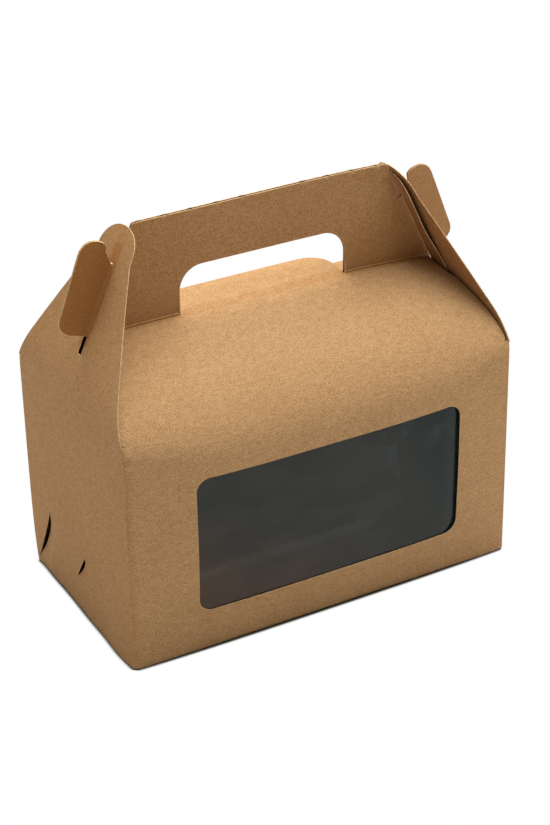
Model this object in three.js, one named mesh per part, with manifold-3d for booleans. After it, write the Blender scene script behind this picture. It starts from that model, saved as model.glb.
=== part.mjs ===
// Gable carton of folded kraft card with a film window, in millimetres.
// +X runs along the length, +Y from the window wall to the back wall and +Z up.
// The origin is in the middle of the base.
import * as THREE from "three";
import { mergeVertices } from "three/addons/utils/BufferGeometryUtils.js";
import Module from "manifold-3d";

const wasm = await Module();
wasm.setup();

// Card and film
const card = 0.5;
const film = 0.3;
const fit = 0.3; // gap between sheets that lie on each other
const bond = 0.05; // how deep glued sheets and folds run into each other

// Body
const boxLength = 230;
const boxWidth = 126;
const wallHeight = 129.5;
const wallBulge = 8; // how far the middle of the long walls stands out
const bulgeHeight = 95; // where the bulge is full
const bulgeSpread = 3.2; // the higher, the further the bulge keeps its depth towards the corners
const bulgeRise = 0.6; // the lower, the sooner it swells above the base

// Roof panels, which bend from the long walls up to the foot of the handle
const roofRise = 32.5; // from the wall's top to the foot of the handle, at mid length
const ridgeSag = 3; // how much lower the foot of the handle is at its right end
const shoulderDrop = 4.3; // the bend starts this far under the wall's top at the ends
const shoulderSoftness = 16; // and this much lower still at mid length
const shoulderPull = 0.9; // how much of that drop the bend's lower control point makes up
const roofPull = 16; // how far in from the wall the roof's upper control point lies
const roofCrown = 10; // and how far under the foot of the handle, at mid length
const roofFlatness = 2.5; // how much less that is at the ends
const edgeTaper = 2.5; // height over which the roof's side edges draw in under the end flaps

// Handle: two panels back to back with a hand hole
const handleRise = 56.4;
const handleTopLength = 152.4;
const handleCorner = 1;
const gripLength = 98.5;
const gripHeight = 25.4;
const gripCorner = 13;
const gripLift = 1; // the grip flap's free edge is this far above the foot of the handle
const gripRoot = 3; // how far in front of the fold the flap starts to lift off the roof

// Ears at the handle's ends, measured across and along the slot they come through
const earWidth = 18;
const earTopWidth = 20.3;
const earLength = 51;
const earNeck = 41; // the part of the ear's length that is joined to the handle
const earLean = 6.3; // how far the ear's top stands off the end flap
const earCorner = 8.5;
const earTopCorner = 9.5;
const earInnerCorner = 4;
const earNotch = 3.4; // the notch between the handle's end and the end flap

// End flaps, hinged on the end walls
const flapBend = 7.7; // the leaning plane meets the wall's plane this far above the crease
const flapTopDrop = 1.5; // the flap's tip is this far under the handle's top
const flapTipWidth = 36; // where its rounded tip starts
const flapTipHeight = 13;
const tipRound = 0.6; // how square the tip is, from 0 to 1
const flapBow = 2.5; // how far its long edges stand proud of its middle
const slotWidth = 2;
const slotTail = 8.5; // the slot's open length under the ear
const slotSpare = 0.5; // and over the ear's neck

// Inner panel of the right end, glued to the back wall and the end wall
const innerReach = 16; // from the middle towards the window wall
const innerFoot = 29.5; // glued length under the wall's top
const innerMargin = 1.6; // how much smaller it is than the flap over it
const innerTopDrop = 4; // and how much lower its top is

// Window
const windowLength = 158;
const windowHeight = 79.2;
const windowSill = 25.4;
const windowShift = 0.8; // its middle lies this far to the right
const windowCorner = 7.5;
const filmLap = 8;

// Slits of the bottom's locking tabs in the left end wall: [across, up] of each end, how far the edge at the
// back bows towards the window wall, and how far the other edge stands off it
const slitEnds = [
  { top: [36.4, 46.1], foot: [60.5, 4.8], sag: 3.2, opening: 4.8 },
  { top: [-6.7, 38.3], foot: [5.1, 21.2], sag: 0.2, opening: 3.4 },
];

// Steps of the curved sheets
const lengthSteps = 16;
const wallSteps = 6;
const roofSteps = 10;
const flapSteps = 12;
const flapColumns = 8;
const gripSteps = 6;
const filmSteps = 10;
const cornerSteps = 8;

// Places worked out from the sizes
const halfLength = boxLength / 2;
const halfWidth = boxWidth / 2;
const ridge = wallHeight + roofRise;
const handleTop = ridge + handleRise;
const flapTop = handleTop - flapTopDrop;
const windowMiddle = windowSill + windowHeight / 2;
const leanFoot = new THREE.Vector2(halfLength - card / 2, wallHeight + flapBend);
const leanTop = new THREE.Vector2(handleTopLength / 2 + card + fit, handleTop);
const leanSlope = (leanFoot.x - leanTop.x) / (leanTop.y - leanFoot.y);
const alongLean = leanTop.clone().sub(leanFoot).normalize();
const acrossLean = new THREE.Vector2(alongLean.y, -alongLean.x);
const leanCos = alongLean.y;
const neckFoot = new THREE.Vector2(leanAt(ridge - card), ridge - card);
const roofEdgeGap = (2 * card + 2 * fit) / leanCos + fit;

// Distance from the middle to the leaning plane of an end flap, at a height
function leanAt(z) {
  return leanFoot.x - (z - leanFoot.y) * leanSlope;
}

// A point given across and along the slot, in the plane of the handle
function besideSlot(across, along) {
  return neckFoot.clone().addScaledVector(acrossLean, across).addScaledVector(alongLean, along);
}

function solidOf(geometry) {
  const bare = geometry.clone();
  bare.deleteAttribute("normal");
  bare.deleteAttribute("uv");
  const merged = mergeVertices(bare, 1e-4);
  const vertProperties = new Float32Array(merged.attributes.position.array);
  const triVerts = new Uint32Array(merged.index.array);
  return new wasm.Manifold(new wasm.Mesh({ numProp: 3, vertProperties, triVerts }));
}

function meshOf(name, solid, material) {
  const made = solid.getMesh();
  const geometry = new THREE.BufferGeometry();
  geometry.setAttribute("position", new THREE.BufferAttribute(new Float32Array(made.vertProperties), 3));
  geometry.setIndex(new THREE.BufferAttribute(new Uint32Array(made.triVerts), 1));
  geometry.computeVertexNormals();
  const mesh = new THREE.Mesh(geometry, material);
  mesh.name = name;
  return mesh;
}

function slab(size, middle) {
  const geometry = new THREE.BoxGeometry(size.x, size.y, size.z);
  geometry.translate(middle.x, middle.y, middle.z);
  return solidOf(geometry);
}

function extruded(outline, depth) {
  return new THREE.ExtrudeGeometry(outline, { depth, bevelEnabled: false, curveSegments: cornerSteps });
}

// A prism along Y from an outline in X and Z
function alongY(outline, low, high) {
  const geometry = extruded(outline, high - low);
  geometry.rotateX(Math.PI / 2);
  geometry.translate(0, high, 0);
  return solidOf(geometry);
}

// A prism along X from an outline in Y and Z
function alongX(outline, low, high) {
  const geometry = extruded(outline, high - low);
  geometry.applyMatrix4(new THREE.Matrix4().set(0, 0, 1, low, 1, 0, 0, 0, 0, 1, 0, 0, 0, 0, 0, 1));
  return solidOf(geometry);
}

function roundedRectangle(width, height, corner, middle) {
  const right = middle.x + width / 2;
  const left = middle.x - width / 2;
  const top = middle.y + height / 2;
  const bottom = middle.y - height / 2;
  const outline = new THREE.Shape();
  outline.moveTo(left + corner, bottom);
  outline.lineTo(right - corner, bottom);
  outline.absarc(right - corner, bottom + corner, corner, -Math.PI / 2, 0);
  outline.absarc(right - corner, top - corner, corner, 0, Math.PI / 2);
  outline.absarc(left + corner, top - corner, corner, Math.PI / 2, Math.PI);
  outline.absarc(left + corner, bottom + corner, corner, Math.PI, 1.5 * Math.PI);
  return outline;
}

// A closed solid between two grids of points, outer and inner, each [column][row]
function solidBetween(outer, inner) {
  const columns = outer.length;
  const rows = outer[0].length;
  const positions = [...outer.flat(), ...inner.flat()].flatMap((point) => point.toArray());
  const at = (side, i, j) => (side * columns + i) * rows + j;
  const index = [];
  const quad = (a, b, c, d) => index.push(a, b, c, a, c, d);
  for (let i = 0; i < columns - 1; i++) {
    for (let j = 0; j < rows - 1; j++) {
      quad(at(0, i, j), at(0, i + 1, j), at(0, i + 1, j + 1), at(0, i, j + 1));
      quad(at(1, i, j), at(1, i, j + 1), at(1, i + 1, j + 1), at(1, i + 1, j));
    }
    quad(at(0, i, 0), at(1, i, 0), at(1, i + 1, 0), at(0, i + 1, 0));
    quad(at(0, i, rows - 1), at(0, i + 1, rows - 1), at(1, i + 1, rows - 1), at(1, i, rows - 1));
  }
  for (let j = 0; j < rows - 1; j++) {
    quad(at(0, 0, j), at(0, 0, j + 1), at(1, 0, j + 1), at(1, 0, j));
    quad(at(0, columns - 1, j), at(1, columns - 1, j), at(1, columns - 1, j + 1), at(0, columns - 1, j + 1));
  }
  const geometry = new THREE.BufferGeometry();
  geometry.setAttribute("position", new THREE.Float32BufferAttribute(positions, 3));
  geometry.setIndex(index);
  return solidOf(geometry);
}

// Shifts a line of 2-D points to its left by a distance, keeping the sheet's thickness at the bends
function shifted(line, distance) {
  return line.map((point, k) => {
    const before = line[Math.max(k - 1, 0)];
    const after = line[Math.min(k + 1, line.length - 1)];
    const into = k > 0 ? point.clone().sub(before).normalize() : after.clone().sub(point).normalize();
    const out = k < line.length - 1 ? after.clone().sub(point).normalize() : into;
    const normal = new THREE.Vector2(-into.y - out.y, into.x + out.x).normalize();
    const stretch = 1 / Math.max(normal.dot(new THREE.Vector2(-into.y, into.x)), 0.5);
    return point.clone().addScaledVector(normal, distance * stretch);
  });
}

// How full the long walls' bulge is at a place along the length, 0 at the corners and 1 in the middle
function fullness(x) {
  return 1 - Math.abs(x / halfLength) ** bulgeSpread;
}

function ridgeAt(x) {
  return ridge - ridgeSag * (Math.max(x, 0) / leanAt(ridge)) ** 4;
}

function shoulderAt(x) {
  return wallHeight - shoulderDrop - shoulderSoftness * fullness(x);
}

// The roof panel's height at a distance from the carton's middle plane
function roofHeight(x, out) {
  const points = roofCurve(x).getPoints(roofSteps * 4).reverse();
  const k = points.findIndex((point) => point.x > out);
  const part = (out - points[k - 1].x) / (points[k].x - points[k - 1].x);
  return THREE.MathUtils.lerp(points[k - 1].y, points[k].y, part);
}

// The long wall's middle surface, as its distance from the carton's middle plane
function wallOut(x, z) {
  const swell = Math.sin((Math.PI / 2) * Math.min(1, z / bulgeHeight) ** bulgeRise);
  return halfWidth - card / 2 + wallBulge * fullness(x) * swell;
}

// The roof panel's bend at a place along the length, in [distance from the middle plane, height]
function roofCurve(x) {
  const foot = new THREE.Vector2(wallOut(x, shoulderAt(x)), shoulderAt(x));
  const top = new THREE.Vector2(card / 2 + fit / 2, ridgeAt(x));
  const rise = shoulderDrop + shoulderSoftness * fullness(x) * shoulderPull;
  const lift = foot.clone().setY(shoulderAt(x) + rise);
  const crownDrop = roofCrown - roofFlatness * (1 - fullness(x));
  const crown = new THREE.Vector2(halfWidth - roofPull, top.y - crownDrop);
  return new THREE.CubicBezierCurve(foot, lift, crown, top);
}

// A long wall and its roof panel, seen from the end
function wallLine(x) {
  const line = [];
  for (let k = 0; k < wallSteps; k++) {
    const z = (shoulderAt(x) * k) / wallSteps;
    line.push(new THREE.Vector2(wallOut(x, z), z));
  }
  return [...line, ...roofCurve(x).getPoints(roofSteps)];
}

// Half the length of the wall and roof sheet at a height: full on the wall, drawn in under the flaps above it
function reachAt(z) {
  const edge = leanEdge(Math.max(z, wallHeight)) - roofEdgeGap;
  const wall = halfLength - card / 2;
  const taper = THREE.MathUtils.clamp((z - wallHeight + edgeTaper) / edgeTaper, 0, 1);
  return THREE.MathUtils.lerp(wall, edge, taper);
}

// The end flap's middle surface on its centre line: upright at the crease, then leaning in
function leanEdge(z) {
  const start = wallHeight - flapBend / 2;
  const end = 2 * leanFoot.y - start;
  if (z <= start) return leanFoot.x;
  if (z >= end) return leanAt(z);
  const part = (z - start) / (end - start);
  return leanFoot.x - (leanFoot.x - leanAt(end)) * part * part;
}

// The sheet of one long side, from the base to the foot of the handle; side is -1 in front, 1 behind
function longSide(side) {
  const outer = [];
  const inner = [];
  for (let i = 0; i <= lengthSteps; i++) {
    const part = (2 * i) / lengthSteps - 1;
    const line = wallLine(part * halfLength);
    const place = (point, k) =>
      new THREE.Vector3(part * reachAt(line[k].y), side * Math.max(point.x, fit / 2), point.y);
    outer.push(shifted(line, -card / 2).map(place));
    inner.push(shifted(line, card / 2).map(place));
  }
  return side < 0 ? solidBetween(outer, inner) : solidBetween(inner, outer);
}

// Handle panel with the hand hole open at its foot, where the grip flap is folded away
function handleOutline() {
  const foot = ridge - bond - card / 2;
  const end = (z) => leanAt(z) - (card / 2 + fit) / leanCos;
  const notchOut = besideSlot(-card / 2 - fit, earNeck + slotSpare / 2);
  const notchIn = besideSlot(-card / 2 - fit - earNotch, earNeck + slotSpare / 2);
  const half = gripLength / 2;
  const gripTop = ridge + gripHeight;
  const outline = new THREE.Shape();
  outline.moveTo(-end(foot), foot);
  outline.lineTo(-half, foot);
  outline.lineTo(-half, gripTop - gripCorner);
  outline.absarc(-half + gripCorner, gripTop - gripCorner, gripCorner, Math.PI, Math.PI / 2, true);
  outline.absarc(half - gripCorner, gripTop - gripCorner, gripCorner, Math.PI / 2, 0, true);
  outline.lineTo(half, foot);
  outline.lineTo(end(foot - ridgeSag), foot - ridgeSag);
  outline.lineTo(notchOut.x, notchOut.y);
  outline.lineTo(notchIn.x, notchIn.y);
  outline.lineTo(handleTopLength / 2, handleTop - handleCorner);
  outline.lineTo(handleTopLength / 2 - handleCorner, handleTop);
  outline.lineTo(-handleTopLength / 2 + handleCorner, handleTop);
  outline.lineTo(-handleTopLength / 2, handleTop - handleCorner);
  outline.lineTo(-notchIn.x, notchIn.y);
  outline.lineTo(-notchOut.x, notchOut.y);
  return outline;
}

// Ear outline on the right, from the slot outwards
function earOutline() {
  const inner = -card / 2;
  const points = [
    besideSlot(inner, 0),
    besideSlot(earWidth - earCorner, 0),
    besideSlot(earWidth, 0),
    besideSlot(earWidth, earCorner),
    besideSlot(earTopWidth, earLength - earTopCorner),
    besideSlot(earTopWidth, earLength),
    besideSlot(earTopWidth - earTopCorner, earLength),
    besideSlot(earLean, earLength),
    besideSlot(earLean, earLength - earInnerCorner),
    besideSlot(card / 2 + fit, earNeck),
    besideSlot(inner, earNeck),
  ];
  const outline = new THREE.Shape();
  outline.moveTo(points[0].x, points[0].y);
  outline.lineTo(points[1].x, points[1].y);
  outline.quadraticCurveTo(points[2].x, points[2].y, points[3].x, points[3].y);
  outline.lineTo(points[4].x, points[4].y);
  outline.quadraticCurveTo(points[5].x, points[5].y, points[6].x, points[6].y);
  outline.quadraticCurveTo(points[7].x, points[7].y, points[8].x, points[8].y);
  outline.lineTo(points[9].x, points[9].y);
  outline.lineTo(points[10].x, points[10].y);
  return outline;
}

// The card cut from the hand hole, still joined to the front roof panel and standing out over the back one
function gripFlap() {
  const half = gripLength / 2;
  const lift = card + fit;
  const outer = [];
  const inner = [];
  for (let i = 0; i <= lengthSteps; i++) {
    const x = ((2 * i) / lengthSteps - 1) * (half - fit);
    const line = [new THREE.Vector2(-gripRoot, roofHeight(x, gripRoot))];
    line.push(new THREE.Vector2(0, ridgeAt(x) + lift / 2));
    for (let k = 0; k <= gripSteps; k++) {
      const out = THREE.MathUtils.lerp(gripRoot, gripHeight + card, k / gripSteps);
      line.push(new THREE.Vector2(out, ridgeAt(x) + THREE.MathUtils.lerp(lift, gripLift, k / gripSteps)));
    }
    const place = (point) => new THREE.Vector3(x, point.x, point.y);
    outer.push(shifted(line, card / 2).map(place));
    inner.push(shifted(line, -card / 2).map(place));
  }
  const outline = new THREE.Shape();
  outline.moveTo(-half, -gripHeight);
  outline.lineTo(half, -gripHeight);
  outline.lineTo(half, gripHeight - gripCorner);
  outline.absarc(half - gripCorner, gripHeight - gripCorner, gripCorner, 0, Math.PI / 2);
  outline.absarc(-half + gripCorner, gripHeight - gripCorner, gripCorner, Math.PI / 2, Math.PI);
  return solidBetween(outer, inner).intersect(solidOf(extruded(outline, handleTop)));
}

// Half the width of an end flap at a height
function flapHalfWidth(z) {
  const part = (z - wallHeight) / (flapTop - flapTipHeight - wallHeight);
  return THREE.MathUtils.lerp(halfWidth - fit, flapTipWidth / 2, part);
}

// Adds a rounded tip to an outline, from its right shoulder over the top to its left one
function addTip(outline, half, top) {
  const start = top - flapTipHeight;
  const high = start + flapTipHeight * tipRound;
  outline.lineTo(half, start);
  outline.bezierCurveTo(half, high, half * tipRound, top, 0, top);
  outline.bezierCurveTo(-half * tipRound, top, -half, high, -half, start);
}

function flapOutline() {
  const base = wallHeight + fit;
  const outline = new THREE.Shape();
  outline.moveTo(-flapHalfWidth(base), base);
  outline.lineTo(flapHalfWidth(base), base);
  addTip(outline, flapTipWidth / 2, flapTop);
  return outline;
}

// How far the flap's surface stands out from its centre line at a place across it
function bowAt(y, z) {
  const part = THREE.MathUtils.clamp((z - wallHeight) / (handleTop - wallHeight), 0, 1);
  const width = Math.max(flapHalfWidth(z), flapTipWidth / 2);
  return flapBow * Math.min((y / width) ** 2, 1) * Math.sin(Math.PI * part) ** 0.5;
}

// A sheet that leans with an end flap: from one width and height to another, set back inwards by a distance
function leaningSheet(side, from, to, setBack) {
  const outer = [];
  const inner = [];
  for (let i = 0; i <= flapColumns; i++) {
    const y = THREE.MathUtils.lerp(from.x, to.x, i / flapColumns);
    const line = [];
    for (let j = 0; j <= flapSteps; j++) {
      const z = THREE.MathUtils.lerp(from.y, to.y, j / flapSteps);
      line.push(new THREE.Vector2(leanEdge(z) + bowAt(y, z) - setBack(z), z));
    }
    const place = (point) => new THREE.Vector3(side * point.x, y, point.y);
    outer.push(shifted(line, -card / 2).map(place));
    inner.push(shifted(line, card / 2).map(place));
  }
  return side > 0 ? solidBetween(outer, inner) : solidBetween(inner, outer);
}

// The slot that an ear comes through, cut along X
function slotCutter(side) {
  const foot = besideSlot(0, -slotTail).y;
  const head = besideSlot(0, earNeck + slotSpare).y;
  const size = new THREE.Vector3(boxLength, slotWidth, head - foot);
  return slab(size, new THREE.Vector3((side * boxLength) / 2, 0, (head + foot) / 2));
}

function endFlap(side) {
  const base = new THREE.Vector2(-halfWidth, wallHeight - card);
  const top = new THREE.Vector2(halfWidth, handleTop + card);
  const low = Math.min(side * boxLength, 0);
  const sheet = leaningSheet(side, base, top, () => 0);
  return sheet.intersect(alongX(flapOutline(), low, low + boxLength)).subtract(slotCutter(side));
}

// The inner panel of the right end: glued inside the end wall and lying behind the flap
function innerPanel() {
  const glued = card - bond;
  const free = (card + fit) / leanCos;
  const setBack = (z) => {
    const part = THREE.MathUtils.clamp((z - wallHeight + edgeTaper) / edgeTaper, 0, 1);
    return THREE.MathUtils.lerp(glued, free, part);
  };
  const base = new THREE.Vector2(-innerReach, wallHeight - innerFoot);
  const top = new THREE.Vector2(halfWidth - card / 2, handleTop);
  const outline = new THREE.Shape();
  outline.moveTo(-innerReach, base.y - card);
  outline.lineTo(halfWidth, base.y - card);
  outline.lineTo(halfWidth, wallHeight);
  addTip(outline, flapTipWidth / 2 - innerMargin, flapTop - innerTopDrop);
  const sheet = leaningSheet(1, base, top, setBack);
  return sheet.intersect(alongX(outline, 0, boxLength)).subtract(slotCutter(1));
}

function endWall(side) {
  const size = new THREE.Vector3(card, boxWidth, wallHeight);
  const wall = slab(size, new THREE.Vector3(side * (halfLength - card / 2), 0, wallHeight / 2));
  return side < 0 ? slitEnds.reduce((cut, slit) => cut.subtract(slitCutter(slit)), wall) : wall;
}

// A crescent through the left end wall
function slitCutter({ top, foot, sag, opening }) {
  const start = new THREE.Vector2(...top);
  const end = new THREE.Vector2(...foot);
  const across = end.clone().sub(start).normalize();
  const out = new THREE.Vector2(across.y, -across.x);
  const middle = start.clone().add(end).multiplyScalar(0.5);
  const near = middle.clone().addScaledVector(out, sag);
  const far = middle.clone().addScaledVector(out, sag + opening);
  const outline = new THREE.Shape();
  outline.moveTo(start.x, start.y);
  outline.quadraticCurveTo(near.x, near.y, end.x, end.y);
  outline.quadraticCurveTo(far.x, far.y, start.x, start.y);
  return alongX(outline, -boxLength, 0);
}

function windowFilm() {
  const setBack = card / 2 + fit + film / 2;
  const halfSheet = windowLength / 2 + filmLap;
  const low = windowSill - filmLap;
  const height = windowHeight + 2 * filmLap;
  const sides = [-film / 2, film / 2].map((shift) => {
    const columns = [];
    for (let i = 0; i <= lengthSteps; i++) {
      const x = windowShift + ((2 * i) / lengthSteps - 1) * halfSheet;
      const column = [];
      for (let j = 0; j <= filmSteps; j++) {
        const z = low + (height * j) / filmSteps;
        column.push(new THREE.Vector3(x, -wallOutAtAny(x, z) + setBack + shift, z));
      }
      columns.push(column);
    }
    return columns;
  });
  return solidBetween(sides[0], sides[1]);
}

// The long wall's faceted middle surface at any height, as its grid has it
function wallOutAtAny(x, z) {
  const step = (2 * halfLength) / lengthSteps;
  const left = Math.floor(x / step) * step;
  const mix = (x - left) / step;
  const across = (at) => {
    const line = wallLine(at);
    const k = line.findIndex((point) => point.y > z);
    const part = (z - line[k - 1].y) / (line[k].y - line[k - 1].y);
    return THREE.MathUtils.lerp(line[k - 1].x, line[k].x, part);
  };
  return THREE.MathUtils.lerp(across(left), across(left + step), mix);
}

function carton() {
  const base = slab(new THREE.Vector3(boxLength, boxWidth, card), new THREE.Vector3(0, 0, card / 2));
  const middle = new THREE.Vector2(windowShift, windowMiddle);
  const opening = roundedRectangle(windowLength, windowHeight, windowCorner, middle);
  const front = longSide(-1).subtract(alongY(opening, -boxWidth, 0));
  const outer = fit / 2 + card;
  const frontHandle = alongY(handleOutline(), -outer, -fit / 2);
  const backHandle = alongY(handleOutline(), fit / 2, outer);
  const pieces = [longSide(1), endWall(-1), endWall(1), innerPanel(), frontHandle, backHandle, gripFlap()];
  return pieces.reduce((whole, piece) => whole.add(piece), base.add(front));
}

function ear(side, layer) {
  const low = layer < 0 ? -fit / 2 - card : fit / 2;
  const solid = alongY(earOutline(), low, low + card);
  return side > 0 ? solid : solid.mirror([1, 0, 0]);
}

const kraft = new THREE.MeshStandardMaterial({ color: 0xa5825a, roughness: 0.85, metalness: 0 });
const clear = new THREE.MeshStandardMaterial({
  color: 0xdfe6e6,
  roughness: 0.1,
  metalness: 0,
  transparent: true,
  opacity: 0.3,
});

const box = new THREE.Group();
box.add(meshOf("carton", carton(), kraft));
box.add(meshOf("window_film", windowFilm(), clear));
for (const [side, word] of [[-1, "left"], [1, "right"]]) {
  box.add(meshOf(`${word}_end_flap`, endFlap(side), kraft));
  box.add(meshOf(`${word}_ear_front`, ear(side, -1), kraft));
  box.add(meshOf(`${word}_ear_back`, ear(side, 1), kraft));
}

export default box;
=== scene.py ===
import math

import bmesh
import bpy
import numpy as np
from mathutils import Matrix, Vector, noise
from mathutils.geometry import delaunay_2d_cdt


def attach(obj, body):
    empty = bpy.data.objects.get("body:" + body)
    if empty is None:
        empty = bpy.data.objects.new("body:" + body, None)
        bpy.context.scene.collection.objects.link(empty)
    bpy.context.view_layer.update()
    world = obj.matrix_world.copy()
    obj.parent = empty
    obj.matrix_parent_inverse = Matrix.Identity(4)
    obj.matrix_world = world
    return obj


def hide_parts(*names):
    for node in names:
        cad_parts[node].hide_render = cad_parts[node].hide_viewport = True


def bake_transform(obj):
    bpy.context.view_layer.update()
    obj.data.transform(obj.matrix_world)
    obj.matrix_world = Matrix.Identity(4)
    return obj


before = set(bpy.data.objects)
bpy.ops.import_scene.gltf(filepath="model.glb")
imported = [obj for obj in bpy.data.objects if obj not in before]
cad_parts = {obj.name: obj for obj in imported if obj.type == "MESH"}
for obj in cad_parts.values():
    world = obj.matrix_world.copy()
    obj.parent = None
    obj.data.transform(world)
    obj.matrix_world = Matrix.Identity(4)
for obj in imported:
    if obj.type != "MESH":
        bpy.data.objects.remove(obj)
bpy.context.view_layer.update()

millimetre = 0.001

# Gable carton with a film window. Sizes are in millimetres, +X along the length, -Y at the window.
card = {
    "thickness": 0.5, "fit": 0.3, "foldRadius": 0.9,
    "edgeRound": 0.2,  # how far the cut edges are rounded over on each side
}

# The creasing rule leaves a bead above the fold of the handle and a groove under it
ridgeFold = {
    "radius": 1.1, "bead": 0.6, "beadAt": 0.35, "groove": 0.5, "grooveAt": -0.5, "width": 0.4,
    "gripRadius": 2.5, "gripMargin": 1.2,
}

body = {
    "length": 230, "width": 126, "wallHeight": 129.5,
    "bulge": 8, "bulgeHeight": 95, "bulgeSpread": 3.2, "bulgeRise": 0.6,
    "roofRise": 32.5, "ridgeSag": 3, "ridgePower": 3,
    "shoulderDrop": 4.3, "shoulderSoftness": 16, "shoulderPull": 0.9,
    "roofPull": 16, "roofCrown": 10, "roofFlatness": 2.5, "edgeTaper": 2.5,
    "cornerReach": 1.3,  # how far round a corner the fold runs
    "waviness": 0.35,  # how far the long walls wander from their clean form
    "waveLength": 55, "waveHeight": 38, "waveSeed": 3.1,
    "cornerFold": 17,  # a corner's fold ends this far above the wall's rows on the layout
}

# The left end's foot isn't straight: it stands out near the window wall and lies in at the back
endFoot = {
    "out": 1.3, "outAt": -46, "outWidth": 15, "in": 1.7, "inFrom": -20, "inOver": 50,
    "rise": 20, "reach": 14,
}

# The flaps under the base: those of the end walls lie on those of the long walls
bottom = {"longReach": 58, "longTrim": 2.5, "endReach": 45, "endTrim": 3, "lift": 0.6, "liftOver": 8}

handle = {
    "rise": 56.4, "topLength": 152.4, "corner": 1,
    "gripLength": 98.5, "gripHeight": 25.4, "gripCorner": 13, "gripLift": 1, "gripRoot": 3,
    "gripGap": 0.35,  # what the punch leaves between the hole and the card cut from it
    "spread": 0.5, "spreadPower": 4,  # how far the two panels stand apart where they are free
}

ears = {
    "width": 18, "topWidth": 20.3, "length": 51, "neck": 41, "lean": 6.3,
    "corner": 8.5, "topCorner": 9.5, "innerCorner": 4, "notch": 3.4,
}

flap = {
    "bend": 7.7, "topDrop": 1.5, "tipWidth": 36, "tipHeight": 13, "tipRound": 0.6,
    "leftBow": 1.3, "rightBow": 0.6, "tipCurl": 1.5, "tipCurlHeight": 19,
    "slotWidth": 3.2, "slotTail": 8.5, "slotSpare": 0.5,
}

innerPanel = {
    "reach": 16, "foot": 29.5, "margin": 1.6, "topDrop": 4, "curl": 2.6, "curlRise": 20, "glueGap": 0.02,
}

# The roof's free corners come close to the end flaps, clear of the handle and of the inner panel
roofCorner = {"handleClear": 2, "panelClear": 1, "over": 6}

window = {"length": 158, "height": 79.2, "sill": 25.4, "shift": 0.8, "corner": 7.5}

halfLength = body["length"] / 2
halfWidth = body["width"] / 2
ridge = body["wallHeight"] + body["roofRise"]
gripHalf = handle["gripLength"] / 2
handleTop = ridge + handle["rise"]
flapTop = handleTop - flap["topDrop"]
sheet = card["thickness"]
leanFoot = Vector((halfLength - sheet / 2, body["wallHeight"] + flap["bend"]))
leanTop = Vector((handle["topLength"] / 2 + sheet + card["fit"], handleTop))
leanSlope = (leanFoot.x - leanTop.x) / (leanTop.y - leanFoot.y)
alongLean = (leanTop - leanFoot).normalized()
acrossLean = Vector((alongLean.y, -alongLean.x))
roofEdgeGap = (2 * sheet + 2 * card["fit"]) / alongLean.y + card["fit"]

# The long sides are laid out flat: wall, roof and handle one above the other, each with its own span
wallSpan = 120
roofSpan = 80
roofTop = wallSpan + roofSpan


def mix(a, b, part):
    return a + (b - a) * part


def clamp(value, low=0.0, high=1.0):
    return max(low, min(high, value))


def easeOut(value):
    part = clamp(value)
    return part * part * (3 - 2 * part)


def leanAt(z):
    return leanFoot.x - (z - leanFoot.y) * leanSlope


neckFoot = Vector((leanAt(ridge - sheet), ridge - sheet))


def besideSlot(across, along):
    return neckFoot + acrossLean * across + alongLean * along


def fullness(x):
    return 1 - min(abs(x) / halfLength, 1) ** body["bulgeSpread"]


def ridgeAt(x):
    return ridge - body["ridgeSag"] * clamp(x / halfLength) ** body["ridgePower"]


def shoulderAt(x):
    return body["wallHeight"] - body["shoulderDrop"] - body["shoulderSoftness"] * fullness(x)


def wallOut(x, z):
    swell = math.sin(math.pi / 2 * clamp(z / body["bulgeHeight"]) ** body["bulgeRise"])
    return halfWidth - sheet / 2 + body["bulge"] * fullness(x) * swell


def roofPoint(x, part):
    low = shoulderAt(x)
    foot = Vector((wallOut(x, low), low))
    pull = body["shoulderDrop"] + body["shoulderSoftness"] * fullness(x) * body["shoulderPull"]
    top = Vector((sheet / 2 + card["fit"] / 2, ridgeAt(x)))
    crown = Vector((halfWidth - body["roofPull"],
                    top.y - body["roofCrown"] + body["roofFlatness"] * (1 - fullness(x))))
    lift = Vector((foot.x, low + pull))
    rest = 1 - part
    return foot * rest**3 + lift * (3 * rest**2 * part) + crown * (3 * rest * part**2) + top * part**3


def leanEdge(z):
    start = body["wallHeight"] - flap["bend"] / 2
    end = 2 * leanFoot.y - start
    if z <= start:
        return leanFoot.x
    if z >= end:
        return leanAt(z)
    return leanFoot.x - (leanFoot.x - leanAt(end)) * ((z - start) / (end - start)) ** 2


def flapHalfWidth(z):
    part = (z - body["wallHeight"]) / (flapTop - flap["tipHeight"] - body["wallHeight"])
    return mix(halfWidth - card["fit"], flap["tipWidth"] / 2, part)


def bowAt(y, z, bow):
    part = clamp((z - body["wallHeight"]) / (handleTop - body["wallHeight"]))
    width = max(flapHalfWidth(z), flap["tipWidth"] / 2)
    return bow * min((y / width) ** 2, 1) * math.sin(math.pi * part) ** 0.5


def leftShape(y, z):
    curl = clamp(1 - (handleTop - z) / flap["tipCurlHeight"])
    return bowAt(y, z, flap["leftBow"]) - flap["tipCurl"] * curl * curl


def rightShape(y, z):
    return bowAt(y, z, flap["rightBow"])


def innerShape(y, z):
    if y > 0:
        return rightShape(y, z)
    rise = clamp((z - ridge) / innerPanel["curlRise"])
    return -innerPanel["curl"] * (y / innerPanel["reach"]) ** 2 * rise


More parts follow.
